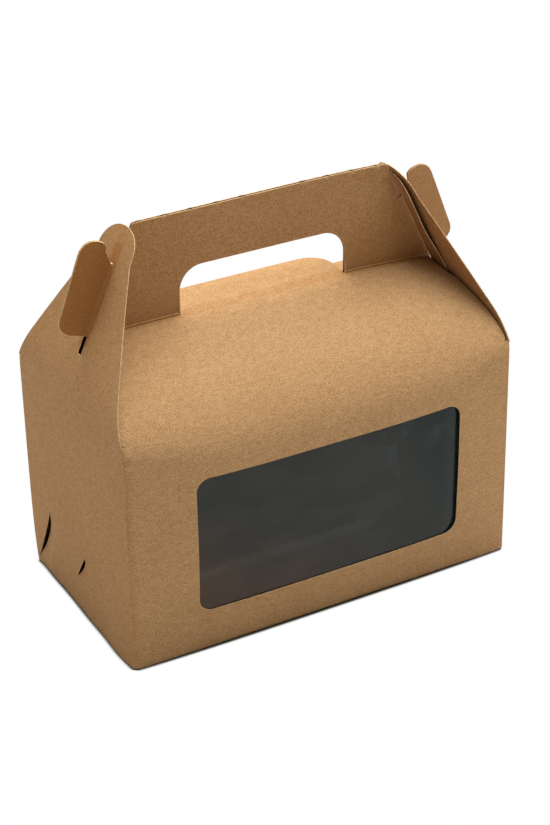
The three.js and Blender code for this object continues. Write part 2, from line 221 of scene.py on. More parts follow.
def reachAt(z, end=0, y=0.0):
    # half the sheet's length at a height; the roof's free corners come closer to the end flaps
    edge = leanEdge(max(z, body["wallHeight"])) - roofEdgeGap
    if end:
        clear = roofCorner["handleClear"]
        if end > 0 and y <= 0:
            clear = innerPanel["reach"] + roofCorner["panelClear"]
        apart = 1 if end > 0 and y > 0 else 1 - easeOut((abs(y) - clear) / roofCorner["over"])
        shape = leftShape(y, z) if end < 0 else rightShape(y, z)
        near = leanEdge(max(z, body["wallHeight"])) + shape - (sheet + card["fit"]) / alongLean.y
        edge = mix(near, edge, apart)
    taper = clamp((z - body["wallHeight"] + body["edgeTaper"]) / body["edgeTaper"])
    return mix(halfLength - sheet / 2, edge, taper)


def wander(x, z, seed):
    return noise.noise(Vector((x / body["waveLength"], seed, z / body["waveHeight"])))


# One point of a long side's middle surface, from its place on the flat layout
def longPlace(side, x, v):
    if v < 0:
        return Vector((x * reachAt(0) / halfLength, side * (halfWidth - sheet / 2 + v), sheet / 2))
    if v < wallSpan:
        z = shoulderAt(x) * v / wallSpan
        out = wallOut(x, z)
    elif v < roofTop:
        out, z = roofPoint(x, (v - wallSpan) / roofSpan)
    else:
        z = ridgeAt(x) + v - roofTop
        out = handleOut(x, v)
    if v < roofTop:
        calm = fullness(x) * math.sin(math.pi * v / roofTop)
        out += body["waviness"] * calm * wander(x, z, body["waveSeed"] + side)
        return Vector((x * reachAt(z, 1 if x > 0 else -1, side * out) / halfLength, side * out, z))
    return Vector((x * reachAt(min(z, ridgeAt(x))) / halfLength, side * out, z))


# The two handle panels lie together at the fold and at the ears and stand apart a little between
def handleOut(x, v):
    rise = (v - roofTop) / handle["rise"]
    middle = 1 - clamp(abs(x) / halfLength) ** handle["spreadPower"]
    return sheet / 2 + card["fit"] / 2 + handle["spread"] * middle * math.sin(math.pi / 2 * clamp(rise))


# A fold turns over a small radius and may keep a pressed line along it
def creased(place, v, fold, radius, pressed=None):
    if abs(v - fold) >= radius:
        return place(v)
    part = (v - fold + radius) / (2 * radius)
    before, middle, after = place(fold - radius), place(fold), place(fold + radius)
    point = before * (1 - part) ** 2 + middle * (2 * part * (1 - part)) + after * part**2
    if pressed:
        point += (before + after - 2 * middle).normalized() * pressed(v - fold)
    return point


def ridgeLine(off):
    bead = ridgeFold["bead"] * math.exp(-(((off - ridgeFold["beadAt"]) / ridgeFold["width"]) ** 2))
    groove = ridgeFold["groove"] * math.exp(-(((off - ridgeFold["grooveAt"]) / ridgeFold["width"]) ** 2))
    return (bead - groove) * (1 - (off / ridgeFold["radius"]) ** 2)


def longPoint(side, x, v):
    def place(at):
        return longPlace(side, x, at)

    if v < roofTop / 2:
        return creased(place, v, 0, card["foldRadius"])
    folded = creased(place, v, roofTop, ridgeFold["radius"], ridgeLine)
    inHole = gripHalf + ridgeFold["gripMargin"] - abs(x) * reachAt(ridge) / halfLength
    overHole = easeOut(inHole) if side < 0 else 0
    if v > roofTop or not overHole:
        return folded
    return mix(folded, gripPoint(x, v), overHole)


# Turns a real place on the handle's plane into its place on the flat layout
def onLayout(point):
    x = point[0]
    for _ in range(4):
        x = point[0] * halfLength / reachAt(ridgeAt(x))
    return (x, max(roofTop + point[1] - ridgeAt(x), roofTop + card["foldRadius"]))


def windowOnLayout(point):
    x = point[0] * halfLength / reachAt(0)
    return (x, wallSpan * point[1] / shoulderAt(x))


def arc(centre, radius, start, end, steps=10):
    turns = [mix(start, end, k / steps) for k in range(steps + 1)]
    return [(centre[0] + radius * math.cos(t), centre[1] + radius * math.sin(t)) for t in turns]


def bend(points, steps=8):
    made = []
    for k in range(steps + 1):
        row = [Vector(p) for p in points]
        while len(row) > 1:
            row = [mix(a, b, k / steps) for a, b in zip(row, row[1:])]
        made.append(tuple(row[0]))
    return made


def refine(points, step, closed=True):
    made = []
    ends = points[1:] + points[:1] if closed else points[1:]
    for a, b in zip(points, ends):
        count = max(1, math.ceil(math.dist(a, b) / step))
        made += [(mix(a[0], b[0], k / count), mix(a[1], b[1], k / count)) for k in range(count)]
    return made if closed else made + [points[-1]]


def tidied(points):
    made = [p for k, p in enumerate(points) if math.dist(p, points[k - 1]) > 1e-4]
    return [tuple(p) for p in made]


def inside(points, loop):
    crossings = np.zeros(len(points), int)
    for (x0, y0), (x1, y1) in zip(loop, loop[1:] + loop[:1]):
        if y0 == y1:
            continue
        spans = (points[:, 1] >= min(y0, y1)) & (points[:, 1] < max(y0, y1))
        at = x0 + (points[:, 1] - y0) / (y1 - y0) * (x1 - x0)
        crossings += spans & (at > points[:, 0])
    return crossings % 2 == 1


def clearOf(points, loop, gap):
    keep = np.ones(len(points), bool)
    for a, b in zip(loop, loop[1:] + loop[:1]):
        start, run = np.array(a), np.array(b) - np.array(a)
        part = np.clip(((points - start) @ run) / (run @ run), 0, 1)
        keep &= np.linalg.norm(points - start - part[:, None] * run, axis=1) > gap
    return keep


# Cuts a flat sheet to an outline with holes and gives it a net of points to bend at
def cutSheet(outline, holes, columns, rows, gap):
    loops = [outline] + list(holes)
    grid = np.array([(x, y) for x in columns for y in rows], float)
    keep = inside(grid, outline)
    for loop in loops:
        keep &= clearOf(grid, loop, gap)
    for hole in holes:
        keep &= ~inside(grid, hole)
    points, edges = [], []
    for loop in loops:
        first = len(points)
        points += [Vector(p) for p in loop]
        edges += [(first + k, first + (k + 1) % len(loop)) for k in range(len(loop))]
    points += [Vector(p) for p in grid[keep]]
    flat, _, faces, *_ = delaunay_2d_cdt(points, edges, [], 0, 1e-6)
    flat = np.array([tuple(p) for p in flat])
    faces = np.array([tuple(f) for f in faces])
    centres = flat[faces].mean(axis=1)
    solid = inside(centres, outline)
    for hole in holes:
        solid &= ~inside(centres, hole)
    return flat, faces[solid]


def placed(cut, place, flip=False):
    flat, faces = cut
    points = np.array([tuple(place(x, y)) for x, y in flat])
    return points, faces[:, ::-1] if flip else faces


def strip(lines, flip=False):
    rows = len(lines[0])
    points = np.array([tuple(p) for line in lines for p in line])
    faces = []
    for i in range(len(lines) - 1):
        for j in range(rows - 1):
            a, b, c, d = i * rows + j, (i + 1) * rows + j, (i + 1) * rows + j + 1, i * rows + j + 1
            faces += [(a, b, c), (a, c, d)]
    faces = np.array(faces)
    return points, faces[:, ::-1] if flip else faces


def joined(sheets):
    points, faces, count = [], [], 0
    for sheetPoints, sheetFaces in sheets:
        points.append(sheetPoints)
        faces.append(sheetFaces + count)
        count += len(sheetPoints)
    return np.vstack(points), np.vstack(faces)


def welded(sheets, reach=0.02):
    points, faces = joined(sheets)
    net = bmesh.new()
    made = [net.verts.new(p) for p in points]
    for face in faces:
        net.faces.new([made[k] for k in face])
    bmesh.ops.remove_doubles(net, verts=net.verts, dist=reach)
    net.verts.index_update()
    points = np.array([tuple(v.co) for v in net.verts])
    faces = np.array([[v.index for v in f.verts] for f in net.faces if len(f.verts) == 3])
    net.free()
    return points, faces


# Gives a middle surface the card's thickness and a rounded rim; the rim faces come last
def thickened(points, faces, thickness, edgeRound=card["edgeRound"]):
    corners = points[faces]
    across = np.cross(corners[:, 1] - corners[:, 0], corners[:, 2] - corners[:, 0])
    normals = np.zeros_like(points)
    for k in range(3):
        np.add.at(normals, faces[:, k], across)
    normals /= np.maximum(np.linalg.norm(normals, axis=1, keepdims=True), 1e-12)
    count = len(points)
    pairs = {}
    for face in faces:
        for a, b in zip(face, np.roll(face, -1)):
            pairs[(a, b)] = True
    edges = [(a, b) for a, b in pairs if (b, a) not in pairs]
    inwards = np.zeros_like(points)
    for a, b in edges:
        step = np.cross(normals[a], points[b] - points[a])
        inwards[[a, b]] += step / max(np.linalg.norm(step), 1e-9)
    inwards[np.abs(points[:, 2] - body["wallHeight"]) < 0.01] = 0  # the end flaps' creases aren't cut edges
    inwards /= np.maximum(np.linalg.norm(inwards, axis=1, keepdims=True), 1e-9)
    eased = points + inwards * edgeRound
    ends = sorted({k for edge in edges for k in edge})
    brink = {k: 2 * count + place for place, k in enumerate(ends)}
    made = np.vstack([eased + normals * thickness / 2, eased - normals * thickness / 2, points[ends]])
    rim = [(b, a, brink[a], brink[b]) for a, b in edges]
    rim += [(brink[b], brink[a], a + count, b + count) for a, b in edges]
    polygons = [tuple(f) for f in faces] + [tuple(f[::-1] + count) for f in faces] + rim
    return made, polygons, [0] * len(faces) + [1] * len(faces) + [2] * len(rim)


# Painted shade that deepens the card's colour: most on the left ears, and on the handle low down near its
# right end
paintedShadeAmounts = {
    "band": 3, "belowRidge": 4, "leftEnd": 0.25, "leftEar": 1.0, "rightEar": 0.1, "handle": 0.25,
    "left": 0.15, "leftFrom": 20, "leftOver": 60,
    "corner": 0.45, "cornerFrom": 25, "cornerOver": 70, "cornerRise": 42,
}


def paintedShadeAmount(point):
    x, y, z = point
    if abs(y) > paintedShadeAmounts["band"] or z < ridge - paintedShadeAmounts["belowRidge"]:
        return paintedShadeAmounts["leftEnd"] if x < 3 * sheet - halfLength else 0.0
    if x < -leanAt(z):
        return paintedShadeAmounts["leftEar"]
    if x >= leanAt(z):
        return paintedShadeAmounts["rightEar"]
    corner = easeOut((x - paintedShadeAmounts["cornerFrom"]) / paintedShadeAmounts["cornerOver"])
    corner *= 1 - easeOut((z - ridge) / paintedShadeAmounts["cornerRise"])
    left = easeOut((-x - paintedShadeAmounts["leftFrom"]) / paintedShadeAmounts["leftOver"])
    return paintedShadeAmounts["handle"] + paintedShadeAmounts["left"] * left + paintedShadeAmounts["corner"] * corner


def pieceFrom(name, shells, materials, leastShade=0.0):
    points, polygons, finishes = [], [], []
    for shellPoints, shellPolygons, shellFinishes in shells:
        base = len(points)
        points += [tuple(p * millimetre) for p in shellPoints]
        polygons += [tuple(int(k) + base for k in polygon) for polygon in shellPolygons]
        finishes += shellFinishes
    mesh = bpy.data.meshes.new(name)
    mesh.from_pydata(points, [], polygons)
    for material in materials:
        mesh.materials.append(material)
    mesh.polygons.foreach_set("material_index", finishes)
    mesh.polygons.foreach_set("use_smooth", [True] * len(polygons))
    # each point stores how much painted shade darkens its colour
    paintedShade = mesh.attributes.new("paintedShadeAmount", "FLOAT", "POINT")
    depths = [max(leastShade, paintedShadeAmount([c / millimetre for c in point])) for point in points]
    paintedShade.data.foreach_set("value", depths)
    mesh.update()
    shape = bmesh.new()
    shape.from_mesh(mesh)
    for edge in shape.edges:
        if len({face.material_index for face in edge.link_faces}) > 1:
            edge.smooth = False
    shape.to_mesh(mesh)
    shape.free()
    piece = bpy.data.objects.new(name, mesh)
    bpy.context.scene.collection.objects.link(piece)
    print("made", name, "with", len(polygons), "faces")
    return piece


class Socket:
    # one output of a node, so that shader maths reads as sums

    def __init__(self, board, plug):
        self.board, self.plug = board, plug

    def sum(self, operation, *values):
        return self.board.add("Math", {"operation": operation}, dict(enumerate(values)))

    def __add__(self, other):
        return self.sum("ADD", self, other)

    def __radd__(self, other):
        return self.sum("ADD", other, self)

    def __sub__(self, other):
        return self.sum("SUBTRACT", self, other)

    def __rsub__(self, other):
        return self.sum("SUBTRACT", other, self)

    def __mul__(self, other):
        return self.sum("MULTIPLY", self, other)

    def __rmul__(self, other):
        return self.sum("MULTIPLY", other, self)


class Board:
    # the nodes of a material or of the world

    def __init__(self, owner, output="OutputMaterial"):
        owner.use_nodes = True
        self.owner, self.output, self.tree = owner, output, owner.node_tree
        self.tree.nodes.clear()

    def add(self, kind, settings, sockets, out=0):
        node = self.tree.nodes.new("ShaderNode" + kind)
        for name, value in settings.items():
            setattr(node, name, value)
        for name, value in sockets.items():
            if isinstance(value, Socket):
                self.tree.links.new(value.plug, node.inputs[name])
            else:
                node.inputs[name].default_value = value
        return Socket(self, node.outputs[out])

    def speckle(self, scale, detail=3.0, roughness=0.55, stretch=(1, 1, 1)):
        where = self.add("TexCoord", {}, {}, "Object")
        where = self.add("Mapping", {}, {"Vector": where, "Scale": stretch})
        return self.add("TexNoise", {}, {"Vector": where, "Scale": scale, "Detail": detail,
                                         "Roughness": roughness})

    def along(self, axis):
        where = self.add("TexCoord", {}, {}, "Object")
        return self.add("SeparateXYZ", {}, {"Vector": where}, axis)

    def range(self, value, low, high):
        settings = {"clamp": True, "interpolation_type": "SMOOTHSTEP"}
        return self.add("MapRange", settings, {0: value, 1: low, 2: high, 3: 0.0, 4: 1.0})

    def blend(self, part, first, second, how="MIX"):
        settings = {"data_type": "RGBA", "blend_type": how}
        return self.add("Mix", settings, {0: part, 6: first, 7: second}, 2)

    def finish(self, shader):
        output = self.tree.nodes.new("ShaderNode" + self.output)
        self.tree.links.new(shader.plug, output.inputs["Surface"])
        return self.owner


def shade(red, green, blue, alpha=1.0):
    # a colour as a screen shows it, from 0 to 255, turned into the linear colour that shaders take
    linear = [c / 12.92 if c <= 0.04045 else ((c + 0.055) / 1.055) ** 2.4
              for c in (red / 255, green / 255, blue / 255)]
    return (*linear, alpha)


kraft = {
    "face": shade(184, 144, 99),
    # inner faces: partly a browner uncoated side, partly painted shade
    "inside": shade(140, 87, 39),
    # the darker brown that painted shade mixes into the card's colour
    "paintedShade": shade(158, 102, 42),
    "pale": shade(206, 168, 124),
    "deep": shade(148, 108, 66),
    "speck": shade(104, 72, 42),
    "edge": shade(222, 190, 148),
    "ply": shade(192, 154, 110),
    "roughness": 0.82, "edgeRoughness": 0.9, "specular": 0.2,
    "fibreScale": 1500, "strandScale": 620, "mottleScale": 260, "cloudScale": 28, "speckScale": 1250,
    "strandStretch": (0.35, 0.35, 1.6),  # the longer fibres lie level
    "fibreShare": 0.68, "strandShare": 0.16, "mottleShare": 0.09, "cloudShare": 0.07,
    "grainShare": 0.5, "grain": (0.4, 0.6), "paintedShadeShare": 0.5,
    "speckShare": 0.45, "specks": (0.74, 0.8),
    "bump": 0.3, "mottleBump": 0.6, "bumpDepth": 0.0002,
    "plyScale": 900, "plies": (0.35, 0.65), "edgeBump": 0.4,
}


def kraftMaterial(name, face):
    board = Board(bpy.data.materials.new(name))
    fibre = board.speckle(kraft["fibreScale"], 2.0, 0.6)
    strand = board.speckle(kraft["strandScale"], 2.0, 0.6, kraft["strandStretch"])
    mottle = board.speckle(kraft["mottleScale"], 2.0, 0.5)
    cloud = board.speckle(kraft["cloudScale"], 2.0, 0.5)
    grain = fibre * kraft["fibreShare"] + strand * kraft["strandShare"]
    grain = grain + mottle * kraft["mottleShare"] + cloud * kraft["cloudShare"]
    colour = board.blend(board.range(grain, *kraft["grain"]), kraft["deep"], kraft["pale"])
    # painted shade: the stored amount mixes the colour towards that darker brown
    paintedShade = board.add("Attribute", {"attribute_name": "paintedShadeAmount"}, {}, "Fac")
    colour = board.blend(kraft["grainShare"], board.blend(paintedShade, face, kraft["paintedShade"]), colour)
    colour = board.blend(paintedShade * kraft["paintedShadeShare"], colour, kraft["paintedShade"])
    specks = board.range(board.speckle(kraft["speckScale"], 0.0, 0.4), *kraft["specks"])
    colour = board.blend(specks * kraft["speckShare"], colour, kraft["speck"])
    bump = board.add("Bump", {}, {"Strength": kraft["bump"], "Distance": kraft["bumpDepth"],
                                  "Height": fibre + mottle * kraft["mottleBump"]})
    sockets = {"Base Color": colour, "Roughness": kraft["roughness"], "Normal": bump,
               "Specular IOR Level": kraft["specular"]}
    return board.finish(board.add("BsdfPrincipled", {}, sockets))


def edgeMaterial(name):
    board = Board(bpy.data.materials.new(name))
    plies = board.speckle(kraft["plyScale"], 2.0, 0.6)
    colour = board.blend(board.range(plies, *kraft["plies"]), kraft["edge"], kraft["ply"])
    bump = board.add("Bump", {}, {"Strength": kraft["edgeBump"], "Distance": kraft["bumpDepth"],
                                  "Height": plies})
    sockets = {"Base Color": colour, "Roughness": kraft["edgeRoughness"], "Normal": bump,
               "Specular IOR Level": kraft["specular"]}
    return board.finish(board.add("BsdfPrincipled", {}, sockets))


kraftFinish = [kraftMaterial("kraft_face", kraft["face"]),
               kraftMaterial("kraft_inside", kraft["inside"]),
               edgeMaterial("kraft_cut_edge")]
print("kraft materials ready")

# Steps between the rows and columns that the sheets bend at, and between the points of cut edges
net = {
    "column": 3.0, "endColumn": 60, "slitStep": 1.5, "flapStep": 2.5, "filmColumns": 60, "filmRows": 34,
    "bottomRow": 4.0, "wallRow": 3.0, "roofRow": 1.7, "ridgeRow": 0.18, "handleRow": 2.8, "gripRow": 1.5,
    "creaseRow": 0.5, "gripColumns": 32, "edge": 3.4, "fineEdge": 2.5,
    "outermost": 138,  # the columns reach past the ears
    "beside": 2, "shoulder": 4,  # rows stay this far from a fold and from the roof's foot
    "footRows": [2, 3.5, 5.5, 8, 11], "footTop": 14, "flapFrom": 140, "flapTo": 220,
}

# The rows lie closer together at folds and bends
foldRows = [-0.9, -0.6, -0.3, 0, 0.3, 0.6, 0.9]
bottomRows = list(np.arange(-2 - bottom["longReach"], -net["beside"], net["bottomRow"]))
ridgeRows = [roofTop + k * net["ridgeRow"] for k in range(-6, 7)]
wallRows = net["footRows"] + list(np.arange(net["footTop"], wallSpan - net["shoulder"], net["wallRow"]))
roofRows = list(np.arange(wallSpan - net["shoulder"], roofTop - net["beside"], net["roofRow"]))
handleRows = list(np.arange(roofTop + net["beside"], roofTop + handle["rise"] - 1, net["handleRow"]))
longRows = sorted(set(bottomRows + foldRows + wallRows + roofRows + ridgeRows + handleRows))
columns = list(np.arange(-net["outermost"], net["outermost"] + 1, net["column"]))


def handleSide(trim=0):
    # from the roof's end round the ear and over the notch to the handle's top corner, on the right
    spare = sheet / 2 + card["fit"]
    points = [besideSlot(-spare, 0), besideSlot(ears["width"] - ears["corner"], 0)]
    points += bend([besideSlot(ears["width"] - ears["corner"], 0), besideSlot(ears["width"], 0),
                    besideSlot(ears["width"], ears["corner"])])
    points += bend([besideSlot(ears["topWidth"], ears["length"] - ears["topCorner"]),
                    besideSlot(ears["topWidth"], ears["length"]),
                    besideSlot(ears["topWidth"] - ears["topCorner"], ears["length"])])
    points += bend([besideSlot(ears["topWidth"] - ears["topCorner"], ears["length"]),
                    besideSlot(ears["lean"], ears["length"]),
                    besideSlot(ears["lean"], ears["length"] - ears["innerCorner"])])
    points += [besideSlot(spare, ears["neck"]), besideSlot(-spare, ears["neck"]),
               besideSlot(-spare - ears["notch"], ears["neck"])]
    half = handle["topLength"] / 2 - trim
    points += [Vector((half, handleTop - handle["corner"])), Vector((half - handle["corner"], handleTop))]
    return tidied([tuple(p) for p in points])


cornerX = halfLength - body["cornerReach"]
cornerRow = wallSpan + body["cornerFold"]  # the corner's fold ends here, level with the end wall's top
seamRows = [v for v in longRows if foldRows[-1] <= v <= cornerRow] + [cornerRow]
edgeRows = [cornerRow + 0.6] + [v for v in longRows if cornerRow + 1 < v < roofTop]  # the roof's free edge


def longOutline():
    right = [(cornerX, v) for v in seamRows]
    right += [(halfLength, v) for v in edgeRows]
    right += [onLayout(p) for p in handleSide()]
    left = [(-cornerX, v) for v in seamRows]
    left += [(-halfLength, v) for v in edgeRows]
    left += [onLayout((-p[0], p[1])) for p in handleSide(flap["tipCurl"])]
    half = cornerX - bottom["longTrim"]
    foot = [(-half, -bottom["longReach"]), (half, -bottom["longReach"])]
    return refine(tidied(foot + right + left[::-1]), net["edge"])


def onRidge(x):
    return x * halfLength / reachAt(ridge)


gripEdge = gripHalf - handle["gripGap"]
gripColumns = [mix(-gripEdge, gripEdge, k / net["gripColumns"]) for k in range(net["gripColumns"] + 1)]


def handHole():
    corner, top = handle["gripCorner"], handle["gripHeight"]
    foot = [(-gripHalf, 0)] + [(x, 0) for x in gripColumns] + [(gripHalf, 0)]
    upper = arc((gripHalf - corner, top - corner), corner, 0, math.pi / 2)
    upper += arc((-gripHalf + corner, top - corner), corner, math.pi / 2, math.pi)
    made = []
    for x, rise in tidied(foot) + refine(tidied(upper), net["fineEdge"], closed=False):
        made.append((onRidge(x), roofTop + rise))
    return made


def windowOutline():
    right = window["shift"] + window["length"] / 2
    left = window["shift"] - window["length"] / 2
    low, high, corner = window["sill"], window["sill"] + window["height"], window["corner"]
    points = arc((right - corner, low + corner), corner, -math.pi / 2, 0)
    points += arc((right - corner, high - corner), corner, 0, math.pi / 2)
    points += arc((left + corner, high - corner), corner, math.pi / 2, math.pi)
    points += arc((left + corner, low + corner), corner, math.pi, 1.5 * math.pi)
    return [windowOnLayout(p) for p in refine(tidied(points), net["fineEdge"])]


def longSide(side, holes):
    cut = cutSheet(longOutline(), holes, columns, longRows, gap=0.35)
    return placed(cut, lambda x, v: longPoint(side, x, v), flip=side > 0)


def gripPlace(x, v):
    # the card cut from the hand hole, still joined to the front roof and lying back over the rear one
    if v <= roofTop:
        return longPlace(-1, x, v)
    out = v - roofTop
    lift = mix(sheet + card["fit"], handle["gripLift"], clamp(out / handle["gripHeight"]))
    eased = lift * easeOut(out / handle["gripRoot"])
    at = x * reachAt(ridgeAt(x)) / halfLength
    return Vector((at, out - sheet / 2 - card["fit"] / 2, ridgeAt(x) + eased))


def gripPoint(x, v):
    return creased(lambda at: gripPlace(x, at), v, roofTop, ridgeFold["gripRadius"])


def gripFlap():
    corner, top = handle["gripCorner"], handle["gripHeight"]
    half = gripColumns[-1]
    upper = arc((half - corner, top - corner), corner, 0, math.pi / 2)
    upper += arc((-half + corner, top - corner), corner, math.pi / 2, math.pi)
    points = [(x, 0) for x in gripColumns] + refine(tidied(upper), net["fineEdge"], closed=False)
    outline = [(onRidge(x), roofTop + rise) for x, rise in tidied(points)]
    rows = list(np.arange(roofTop + 0.5, roofTop + top, net["gripRow"]))
    cut = cutSheet(outline, [], [onRidge(x) for x in gripColumns], rows, gap=0.4)
    return placed(cut, gripPoint)


# The slits of the bottom's locking tabs in the left end wall, as (y, z)
slits = [
    {"top": (36.4, 46.1), "foot": (61.0, 2.6), "near": 2.6, "far": 4.0, "push": 2.4, "fade": 10},
    {"top": (-6.7, 38.3), "foot": (5.1, 21.2), "near": 0.0, "far": 1.9, "push": 1.5, "fade": 6},
]


slitLip = {"taper": 0.8, "over": 0.6}  # how the pushed-in card comes back at a slit's ends and edge


def slitOutline(slit):
    start, end = Vector(slit["top"]), Vector(slit["foot"])
    along = (end - start).normalized()
    out = Vector((along.y, -along.x))
    middle = (start + end) / 2
    near = bend([start, middle + out * slit["near"], end], steps=14)
    far = bend([end, middle + out * slit["far"], start], steps=14)
    return tidied(near + far)


def dent(y, z):
    # the card beside each slit is pushed in on the side that faces the window
    depth = 0
    for slit in slits:
        start, end = Vector(slit["top"]), Vector(slit["foot"])
        run = end - start
        along = run.normalized()
        out = Vector((along.y, -along.x))
        point = Vector((y, z)) - start
        part = point.dot(run) / run.length_squared
        middle = 4 * part * (1 - part)
        beyond = point.dot(out) - slit["near"] / 2 * middle
        if 0 < part < 1 and beyond > 0:
            fade = math.exp(-((beyond / slit["fade"]) ** 2))
            depth += slit["push"] * middle ** slitLip["taper"] * fade * easeOut(beyond / slitLip["over"])
    return depth


def endPlace(side, y, z):
    if z < 0:
        lift = bottom["lift"] * easeOut(-z / bottom["liftOver"])
        return Vector((side * (halfLength - sheet / 2 + z), y, sheet / 2 + lift))
    inwards = dent(y, z) if side < 0 else 0
    return Vector((side * (halfLength - sheet / 2 - inwards), y, z))


def endPoint(side, y, z):
    return creased(lambda at: endPlace(side, y, at), z, 0, card["foldRadius"])


def seamHeights(side, end):
    return [longPoint(side, end * cornerX, v).z for v in seamRows]


def endWall(side):
    cornerY = halfWidth - body["cornerReach"]
    front, back = seamHeights(-1, side), seamHeights(1, side)
    top = body["wallHeight"]
    half = cornerY - bottom["endTrim"]
    outline = [(-half, -bottom["endReach"]), (half, -bottom["endReach"])]
    outline += [(cornerY, z) for z in back] + [(cornerY, top)]
    outline += [(-cornerY, top)] + [(-cornerY, z) for z in front[::-1]]
    holes = [slitOutline(slit) for slit in slits] if side < 0 else []
    outline = refine(tidied(outline), net["edge"])
    step = net["slitStep"] if side < 0 else net["column"]
    low = list(np.arange(2 - bottom["endReach"], -net["beside"], net["bottomRow"]))
    rows = sorted(low + foldRows + list(np.arange(net["beside"], top, step)))
    across = np.arange(-net["endColumn"], net["endColumn"] + 1, step)
    cut = cutSheet(outline, holes, across, rows, gap=0.3)
    return placed(cut, lambda y, z: endPoint(side, y, z), flip=side < 0)


def cornerFold(side, end):
    # the rounded upright fold between a long wall and an end wall
    cornerY = halfWidth - body["cornerReach"]
    lines = []
    steps = 6
    for k in range(steps + 1):
        line = []
        for v in seamRows:
            inner = longPoint(side, end * cornerX, v)
            outer = Vector((end * (halfLength - sheet / 2), side * cornerY, inner.z))
            middle = Vector((outer.x, inner.y, inner.z))
            part = k / steps
            line.append(inner * (1 - part) ** 2 + middle * (2 * part * (1 - part)) + outer * part**2)
        lines.append(line)
    return strip(lines, flip=side * end > 0)


# Moves the left end's foot in and out as the photo shows it
def settled(points):
    near = np.clip((-points[:, 0] - halfLength + endFoot["reach"]) / endFoot["reach"], 0, 1)
    out = endFoot["out"] * np.exp(-(((points[:, 1] - endFoot["outAt"]) / endFoot["outWidth"]) ** 2))
    part = np.clip((points[:, 1] - endFoot["inFrom"]) / endFoot["inOver"], 0, 1)
    out -= endFoot["in"] * part * part * (3 - 2 * part)
    moved = points.copy()
    moved[:, 0] -= near * out * np.exp(-np.maximum(points[:, 2], 0) / endFoot["rise"])
    return moved


shell = welded([
    longSide(-1, [windowOutline(), handHole()]), gripFlap(), longSide(1, [handHole()]),
    endWall(-1), endWall(1),
    *[cornerFold(side, end) for side in (-1, 1) for end in (-1, 1)],
])
shell = (settled(shell[0]), shell[1])
print("blank folded:", len(shell[0]), "points")


def tipOutline(half, top):
    start = top - flap["tipHeight"]
    high = start + flap["tipHeight"] * flap["tipRound"]
    inner = half * flap["tipRound"]
    return (bend([(half, start), (half, high), (inner, top), (0, top)], steps=12)
            + bend([(0, top), (-inner, top), (-half, high), (-half, start)], steps=12))


def slotOutline():
    foot = besideSlot(0, -flap["slotTail"]).y
    head = besideSlot(0, ears["neck"] + flap["slotSpare"]).y
    half = flap["slotWidth"] / 2
    return refine([(-half, foot), (half, foot), (half, head), (-half, head)], net["fineEdge"])


def flapPlace(side, shape, y, z, setBack=0.0):
    return Vector((side * (leanEdge(z) + shape(y, z) - setBack), y, z))


flapRows = [body["wallHeight"] + k * net["creaseRow"] for k in range(1, 20)]
flapRows += list(np.arange(net["flapFrom"], net["flapTo"], net["flapStep"]))
flapColumns = np.arange(-halfWidth, halfWidth + 1, net["flapStep"])


def endFlap(side):
    base = body["wallHeight"]
    outline = [(-flapHalfWidth(base), base), (flapHalfWidth(base), base)]
    outline += tipOutline(flap["tipWidth"] / 2, flapTop)
    outline = refine(tidied(outline), net["fineEdge"])
    cut = cutSheet(outline, [slotOutline()], flapColumns, flapRows, gap=0.35)
    shape = leftShape if side < 0 else rightShape
    return placed(cut, lambda y, z: flapPlace(side, shape, y, z), flip=side < 0)


def innerSheet():
    # glued inside the right end wall, then leaning behind the flap; its window-side edge is cut upright
    base = body["wallHeight"] - innerPanel["foot"]
    reach = -innerPanel["reach"]
    width = halfWidth - sheet
    half = flap["tipWidth"] / 2 - innerPanel["margin"]
    tip = tipOutline(half, flapTop - innerPanel["topDrop"])
    tip = [p for p in tip if p[0] > reach]
    outline = [(reach, base), (width, base), (width, body["wallHeight"])] + tip
    outline = refine(tidied(outline), net["fineEdge"])
    free = (sheet + card["fit"]) / alongLean.y

    def setBack(z):
        part = clamp((z - body["wallHeight"] + body["edgeTaper"]) / body["edgeTaper"])
        return mix(sheet + innerPanel["glueGap"], free, part)

    rows = list(np.arange(base + 2, net["flapTo"], net["flapStep"]))
    cut = cutSheet(outline, [slotOutline()], flapColumns, rows, gap=0.35)
    return placed(cut, lambda y, z: flapPlace(1, innerShape, y, z, setBack(z)))


cartonShells = [thickened(*shell, sheet), thickened(*innerSheet(), sheet)]
cartonCard = pieceFrom("carton_card", cartonShells, kraftFinish)
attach(cartonCard, "carton")
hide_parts("carton", "left_ear_front", "left_ear_back", "right_ear_front", "right_ear_back")

for side, word in ((-1, "left"), (1, "right")):
    leastShade = paintedShadeAmounts["leftEnd"] if side < 0 else 0.0
    flapCard = pieceFrom(word + "_flap_card", [thickened(*endFlap(side), sheet)], kraftFinish, leastShade)
    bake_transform(flapCard)
    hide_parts(word + "_end_flap")

film = {
    "thickness": 0.3, "lap": 8, "topLap": 4, "recess": 0.9, "recessOver": 9,
    "wrinkle": 0.3, "wrinkleCalm": 0.6, "wrinkleLength": 24, "wrinkleHeight": 60, "wrinkleSlant": 90,
    "wrinkleSeed": 7.0,
    # painted sheen on the film's wrinkles; dark, brown and green are painted shade for the inside seen
    # through it
    "sheen": shade(62, 80, 77),
    "dark": shade(59, 59, 57), "brown": shade(98, 72, 48), "green": shade(18, 36, 31),
    "cover": 0.92, "roughness": 0.1, "specular": 0.22, "ior": 1.45, "bump": 0.5, "bumpDepth": 0.001,
    "warm": (-0.06, 0.03), "warmShare": 0.75, "cool": (0.05, 0.11), "coolShare": 0.85,
    "upper": (0.08, 0.13), "cloudScale": 30, "clouds": (0.3, 0.7), "cloudShare": 0.3,
    "wispScale": 60, "wisps": (0.52, 0.72), "wispShare": 0.6, "bumpScale": 26,
}


